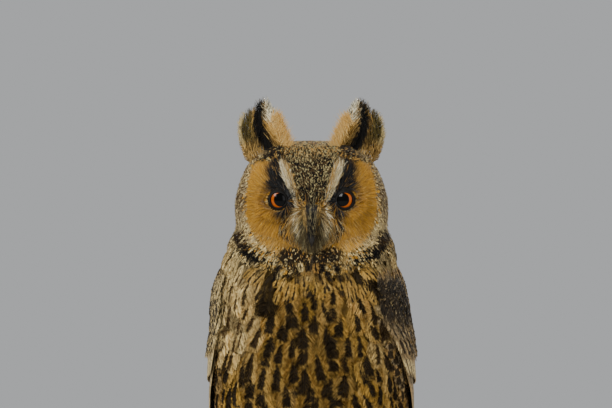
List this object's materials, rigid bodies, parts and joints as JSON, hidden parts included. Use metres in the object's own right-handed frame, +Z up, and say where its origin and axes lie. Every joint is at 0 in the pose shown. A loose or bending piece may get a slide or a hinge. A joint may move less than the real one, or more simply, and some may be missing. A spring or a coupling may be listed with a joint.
{
  "type": "long-eared owl on a perch and display stand",
  "caption": "Life-size long-eared owl, upright and facing forward with raised ear tufts, gripping a short cut branch held by a plain wooden display stand.",
  "frame": {"origin": "centre of the underside of the stand's base, where the part rests", "axes": "+Z up along the bird, -Y the way that the bird faces, +X to the bird's left, along the perch"},
  "size_m": [0.2, 0.16, 0.3817],
  "materials": {
    "facial_plumage": "soft ochre feathers with black and white markings",
    "body_plumage": "soft tan feathers with dark brown streaks",
    "flight_plumage": "dark brown, buff and grey barred feathers",
    "leg_plumage": "short pale buff feathers",
    "eye": "wet orange iris with a black pupil",
    "horn": "polished black horn",
    "bark": "rough brown bark",
    "plinth_wood": "oiled walnut",
    "rod_steel": "satin dark grey steel"
  },
  "bodies": {
    "root": {"head": "facial_plumage", "neck": "body_plumage", "torso": "body_plumage", "tail": "flight_plumage", "left_wing": "flight_plumage", "right_wing": "flight_plumage", "left_ear_tuft": "flight_plumage", "right_ear_tuft": "flight_plumage", "left_eye": "eye", "right_eye": "eye", "bill_upper": "horn", "bill_lower": "horn", "left_leg": "leg_plumage", "right_leg": "leg_plumage", "left_foot": "leg_plumage", "right_foot": "leg_plumage", "left_claw_inner": "horn", "left_claw_middle": "horn", "left_claw_outer": "horn", "left_claw_hind": "horn", "right_claw_inner": "horn", "right_claw_middle": "horn", "right_claw_outer": "horn", "right_claw_hind": "horn", "perch_branch": "bark", "stand_base": "plinth_wood", "stand_rod_left": "rod_steel", "stand_rod_right": "rod_steel"}
  },
  "joints": []
}
